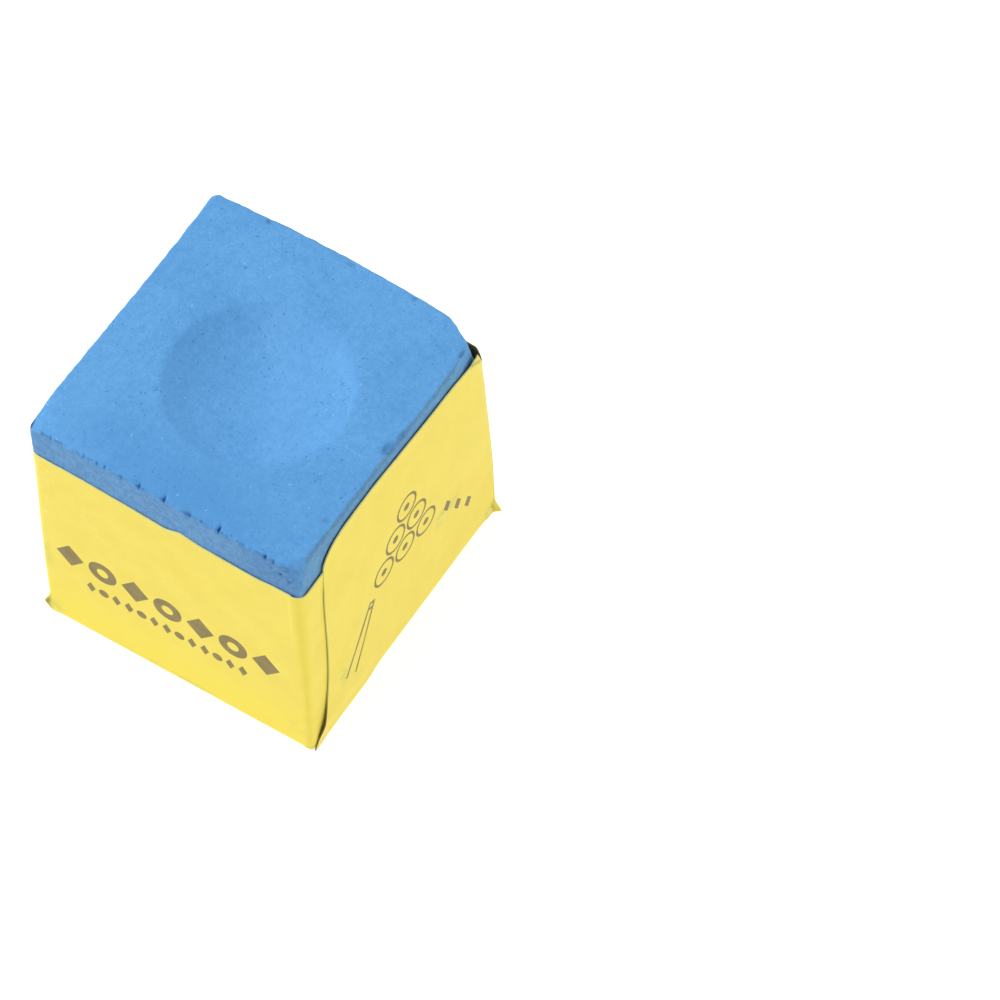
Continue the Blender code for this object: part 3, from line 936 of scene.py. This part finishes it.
def pinched(position, along, across):
    """The plan of a corner's foot squeezed into a fin, relative to the corner."""
    knots = [-1, -0.5, -0.05, 0.05, 0.55, 1]
    shape = np.array([
        -EAR_REACH * along,
        -EAR_REACH * 0.35 * along,
        EAR * along,
        EAR * along + EAR_LAYERS * across,
        EAR_LAYERS * 1.4 * across,
        EAR_REACH * across,
    ])
    return np.column_stack([np.interp(position, knots, shape[:, axis]) for axis in range(2)])


def fold_walls(u, v):
    """Plan places of the sheet's walls, and the outward direction at each."""
    folds = np.array([0.0, LEFT_FOLD, BACK_FOLD, RIGHT_FOLD])
    stations = [-TAB, *folds, SHEET_END]
    xs = [TAB_X, TAB_X, LEFT, LEFT, RIGHT, RIGHT]
    ys = [FRONT + TAB, FRONT, FRONT, BACK, BACK, FRONT]
    plan = np.column_stack([np.interp(u, stations, xs), np.interp(u, stations, ys)])
    headings = np.array([(0, -1), (-1, 0), (0, 1), (1, 0), (0, -1)], float)
    outwards = np.column_stack([-headings[:, 1], headings[:, 0]])
    wall = np.searchsorted(folds, u)
    outward = outwards[wall]
    for index, fold in enumerate(folds):
        past = u - fold
        window = CORNER_AT_BASE + (CORNERS_AT_TOP[index] - CORNER_AT_BASE) * smooth(v, 5, 19)
        before, after = headings[index], headings[index + 1]
        corner = np.array([xs[index + 1], ys[index + 1]])
        near = np.abs(past) < window
        part = ((past + window) / (2 * window))[near, None]
        size = window[near, None]
        plan[near] = corner + size * (part**2 * after - (1 - part) ** 2 * before)
        facing = (1 - part) * outwards[index] + part * outwards[index + 1]
        outward[near] = facing / np.hypot(*facing.T)[:, None]
        if index:
            point, root = EAR_HEIGHTS[index - 1]
            foot = np.clip((root - v) / (root - point), 0, 1) ** 1.4
            foot *= 0.3 + 0.7 * np.clip(v / point, 0, 1)
            near = (np.abs(past) < EAR_REACH) & (v < root)
            position = past[near] / EAR_REACH
            if abs(before[0]) > 0.5:
                fin = pinched(position, before, after)
            else:
                fin = pinched(-position, -after, -before)
            weight = foot[near, None]
            plan[near] = plan[near] * (1 - weight) + (corner + fin) * weight
    share = np.clip(1 - v / SPLAY_HEIGHT, 0, 1)
    reach = np.where(plan[:, 1] < 0, FRONT_FOOT / FRONT, BACK_FOOT / BACK) - 1
    plan[:, 1] *= 1 + reach * share
    away = SHEET_END - u
    drawn_in = smooth(away, TAB - 0.3, TAB + 2.0) * (1 - 0.55 * smooth(away, 20.3, 22.8)) * (u > RIGHT_FOLD)
    plan[:, 0] -= RIGHT_TUCK * drawn_in * smooth(-v, -14, 0)
    plan[:, 0] -= LAP_TUCK * (u > RIGHT_FOLD) * (1 - drawn_in) * smooth(-v, -2.4, -0.8)
    return plan, outward, outwards[wall], wall


def wall_bulge(u, v):
    """How far the walls stand out from flat, where the paper isn't quite tight."""
    place = np.column_stack([u, v])
    bulge = 0.022 * wander(place, 7.0, 21) + 0.008 * wander(place, 1.7, 22)
    away = SHEET_END - u
    lap = u > RIGHT_FOLD
    flare = LAP_FLARE * bell(away - 1.2, 1.3) * bell(v - 1.9, 1.2)
    tight = -0.06 * bell(away - 2.2, 1.2) * smooth(v, 3, 5) - TOP_LEAN * smooth(v, 16.5, 20.5)
    snug = -0.06 * (u > 1) * smooth(v, 12, 18)
    past = u - RIGHT_FOLD
    crease = CREASE_HEIGHT + CREASE_SLOPE * past
    at_corner = smooth(past, 0.2, 0.7) * smooth(-past, -4, -3)
    bent = -BENT_IN * soft_positive(v - crease, 0.06) * at_corner
    return bulge + np.where(lap, flare + tight, snug) + bent


def fold_sheet(places):
    """Folds flat places into the wrapper's middle surface."""
    u, v = places.T
    plan, outward, wall_outward, wall = fold_walls(u, v)
    height = FLOOR + v
    plan = plan + outward * (wall_bulge(u, v) * smooth(v, -0.2, 0.6))[:, None]

    middles = np.array([0, FRONT_WIDTH, SIDE_WIDTH, BACK_WIDTH, SIDE_WIDTH])[wall] / 2
    starts = np.array([-TAB, 0, LEFT_FOLD, BACK_FOLD, RIGHT_FOLD])[wall]
    sideways = np.abs(u - starts - middles)
    hinged = smooth(-sideways, -FLAP_ROOT - 0.3, -FLAP_ROOT + 0.2)
    part = np.clip((BASE_FOLD - v) / (2 * BASE_FOLD), 0, 1)
    bent = v < BASE_FOLD
    inward = np.where(v < -BASE_FOLD, -v, BASE_FOLD * part**2)
    rise = np.where(v < -BASE_FOLD, 0, BASE_FOLD * (1 - part) ** 2)
    inward = np.where(v < 0, inward, inward * hinged)
    rise = np.where(v < 0, rise, rise * hinged + v * (1 - hinged))
    plan = np.where(bent[:, None], plan - wall_outward * inward[:, None], plan)
    height = np.where(bent, FLOOR + rise, height)

    side_flap = (wall == 2) | (wall == 4)
    level = np.where(side_flap, (SIDE_LEVEL - FLOOR) * smooth(-v, 0.3, 1.5), 0)
    risen = BACK_FOOT - FRONT_FOOT - FRONT_FLAP - 0.6
    level = np.where(wall == 3, (BACK_LEVEL - FLOOR) * smooth(-v, risen - 1.2, risen), level)
    return np.column_stack([plan, height + level])


def thicken(points, triangles, inked):
    """Gives the folded surface its thickness: points, faces and each face's material."""
    corners = points[triangles]
    normals = np.cross(corners[:, 2] - corners[:, 0], corners[:, 1] - corners[:, 0])
    outward = np.zeros_like(points)
    for index in range(3):
        np.add.at(outward, triangles[:, index], normals)
    outward /= np.maximum(np.linalg.norm(outward, axis=1), 1e-12)[:, None]
    count = len(points)
    both = np.vstack([points + outward * PAPER / 2, points - outward * PAPER / 2])
    outer = triangles[:, ::-1]
    inner = triangles + count
    edges = np.vstack([outer[:, [0, 1]], outer[:, [1, 2]], outer[:, [2, 0]]])
    keys = {(a, b) for a, b in edges.tolist()}
    rim = [(b, a, a + count, b + count) for a, b in edges.tolist() if (b, a) not in keys]
    faces = outer.tolist() + inner.tolist() + rim
    kinds = np.where(inked, 1, 0).tolist() + [2] * len(inner) + [3] * len(rim)
    return both, faces, kinds


# Greenish smudges: place on the sheet, size along and up, strength
SMUDGES = (
    (SHEET_END - 16.7, 8.2, 1.5, 0.7, 0.80),
    (SHEET_END - 3.8, 5.0, 0.8, 1.2, 0.50),
    (SHEET_END - 22.3, 0.8, 0.7, 0.8, 0.60),
    (1.2, 2.0, 0.8, 0.9, 0.22),
    (LEFT_FOLD - 0.6, 1.0, 0.7, 0.7, 0.40),
    (12.0, 0.3, 5.0, 0.35, 0.45),
    (LEFT_FOLD - 0.5, 8.5, 0.4, 2.6, 0.30),
    (LEFT_FOLD + 9.0, 5.0, 2.5, 1.0, 0.35),
    (BACK_FOLD + 15.0, 15.0, 1.8, 1.2, 0.40),
)

# Scuffed patches, listed in the same way
SCUFFS = (
    (LEFT_FOLD - 1.1, 18.3, 0.9, 1.1, 1.0),
    (LEFT_FOLD - 0.8, 13.8, 0.7, 0.8, 0.8),
    (LEFT_FOLD - 5.5, 15.2, 4.0, 1.6, 0.6),
    (11.8, 19.3, 1.6, 0.5, 0.9),
    (11.6, 12.2, 2.6, 0.9, 0.65),
    (15.2, 11.2, 1.5, 0.7, 0.5),
    (6.0, 13.0, 2.5, 1.5, 0.35),
    (RIGHT_FOLD + 0.5, 17.0, 0.6, 3.0, 0.6),
    (LEFT_FOLD + 0.2, 10.0, 0.5, 8.0, 0.5),
    (BACK_FOLD + 6.0, 12.0, 4.0, 3.0, 0.6),
)

# Painted shade in creases where the paper is pinched, listed in the same way
CREASES = (
    (LEFT_FOLD - 0.17, 0.95, 0.15, 0.90, 0.85),
    (BACK_FOLD - 0.45, 1.2, 0.13, 0.60, 0.60),
    (RIGHT_FOLD + 0.45, 0.9, 0.12, 0.50, 0.50),
)


def paper_marks(places):
    """Where the paper is smudged, scuffed or unfaded, and where shade is painted: at its folds, in its
    creases, and in an open seam and the back right corner's opening.
    """
    u, v = places.T
    smudge, scuff, crease = (np.zeros(len(u)) for _ in range(3))
    for store, patches in ((smudge, SMUDGES), (scuff, SCUFFS), (crease, CREASES)):
        for along, up, wide, high, strength in patches:
            np.maximum(store, strength * bell(u - along, wide) * bell(v - up, high), out=store)
    past = u - RIGHT_FOLD
    above = v - CREASE_HEIGHT - CREASE_SLOPE * past
    bent_corner = smooth(past, 0.3, 0.7) * smooth(-past, -2.4, -1.5)
    # painted shade along the crease under the bent-in corner
    crease = np.maximum(crease, 0.8 * bell(above, 0.09) * bent_corner)
    scuff = np.maximum(scuff, 0.6 * smooth(above, 0.05, 0.3) * bent_corner)
    # painted shade at the rounded folds, where the paper turns away from the light: most at the front right
    # corner, less at the other corners and along the base fold
    front_fold = bell(u - 0.15, 0.38)
    other_folds = sum(bell(u - fold, 0.45) for fold in (LEFT_FOLD, BACK_FOLD, RIGHT_FOLD))
    fold = np.clip(0.52 * front_fold + 0.25 * other_folds + 0.20 * bell(v, 0.35), 0, 1)
    unfaded = 0.75 * smooth(-v, -7, -1) * ((u > 0.5) & (u < LEFT_FOLD))
    free_edge = smooth(u, SHEET_END - 4.3, SHEET_END - 3.6)
    seam = free_edge * (0.25 + 0.60 * smooth(-v, -6, -3))
    # the cut edge at the back right corner's opening gets the same painted shade
    seam = np.maximum(seam, 0.9 * smooth(-np.abs(u - RIGHT_FOLD + 2), -3.6, -2.6) * smooth(v, 18, 19))
    marks = {"smudge": smudge, "scuff": scuff, "crease": crease, "fold": fold, "seam": seam}
    return {**marks, "unfaded": unfaded}


def wrapper_piece():
    places, triangles, inked = mesh_flat_sheet()
    points, faces, kinds = thicken(fold_sheet(places), triangles, inked)
    marks = {name: np.tile(values, 2) for name, values in paper_marks(places).items()}
    materials = [paper_material(), ink_material(), inside_painted_shade_material(), cut_edge_material()]
    piece = make_piece("printed_paper", points, faces, kinds, materials, marks, 50)
    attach(piece, "root")
    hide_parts("paper_wrapper")


# ------------------------ glue


def finish_glue():
    """Gives the dried films, which stay as the CAD model has them, a lumpy paste material."""
    paste = glue_material()
    stood_for = {"chalk_block", "paper_wrapper"}
    for name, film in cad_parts.items():
        if name not in stood_for:
            for place in film.material_slots:
                place.material = paste


# ------------------------ camera, light and floor


def turned(azimuth, elevation, roll):
    """The camera's right, up and back directions, from angles in degrees."""
    a, e, r = (math.radians(angle) for angle in (azimuth, elevation, roll))
    back = Vector((math.sin(a) * math.cos(e), -math.cos(a) * math.cos(e), math.sin(e)))
    right = Vector((math.cos(a), math.sin(a), 0))
    up = back.cross(right)
    return right * math.cos(r) + up * math.sin(r), up * math.cos(r) - right * math.sin(r), back


def add_camera():
    azimuth, elevation, roll = 35.02, 57.74, -2.93
    aside, raised, distance = 15.94, 4.14, 462.0
    right, up, back = turned(azimuth, elevation, roll)
    place = right * aside + up * raised + back * distance
    data = bpy.data.cameras.new("camera")
    data.lens = 234
    data.sensor_width = 36
    data.clip_start, data.clip_end = 0.01, 10
    camera = bpy.data.objects.new("camera", data)
    bpy.context.scene.collection.objects.link(camera)
    facing = Matrix((right, up, back)).transposed().to_4x4()
    camera.matrix_world = Matrix.Translation(place * MM) @ facing
    bpy.context.scene.camera = camera


def add_light(name, azimuth, elevation, distance, size, strength):
    """A square soft light that faces the cube; at strength 1 it lights as a white sky does."""
    back = turned(azimuth, elevation, 0)[2]
    data = bpy.data.lights.new(name, "AREA")
    data.size = size
    data.energy = strength * math.pi**2 * distance**2
    light = bpy.data.objects.new(name, data)
    light.location = back * distance + Vector((0, 0, 0.01))
    light.rotation_euler = back.to_track_quat("Z", "Y").to_euler()
    bpy.context.scene.collection.objects.link(light)


def add_stage():
    """The floor, a hair below the paper and open under the cube, so that the base can be seen."""
    mesh = bpy.data.meshes.new("floor")
    reach, opening, level = 1500 * MM, 10.5 * MM, -0.02 * MM
    turns = ((-1, -1), (1, -1), (1, 1), (-1, 1))
    corners = [(x * size, y * size, level) for size in (reach, opening) for x, y in turns]
    sides = [(i, (i + 1) % 4, 4 + (i + 1) % 4, 4 + i) for i in range(4)]
    mesh.from_pydata(corners, [], sides)
    mesh.materials.append(floor_material())
    floor = bpy.data.objects.new("floor", mesh)
    bpy.context.scene.collection.objects.link(floor)

    world = bpy.data.worlds.new("soft_white_room")
    world.use_nodes = True
    world.node_tree.nodes["Background"].inputs["Color"].default_value = (1, 1, 1, 1)
    world.node_tree.nodes["Background"].inputs["Strength"].default_value = 0.66
    bpy.context.scene.world = world
    bpy.context.scene.view_settings.view_transform = "Standard"

    add_light("left_softbox", -78, 42, 0.5, 0.28, 0.57)
    add_light("right_fill", 100, 6, 0.5, 0.40, 0.19)


add_camera()
add_stage()
chalk_piece()
wrapper_piece()
finish_glue()
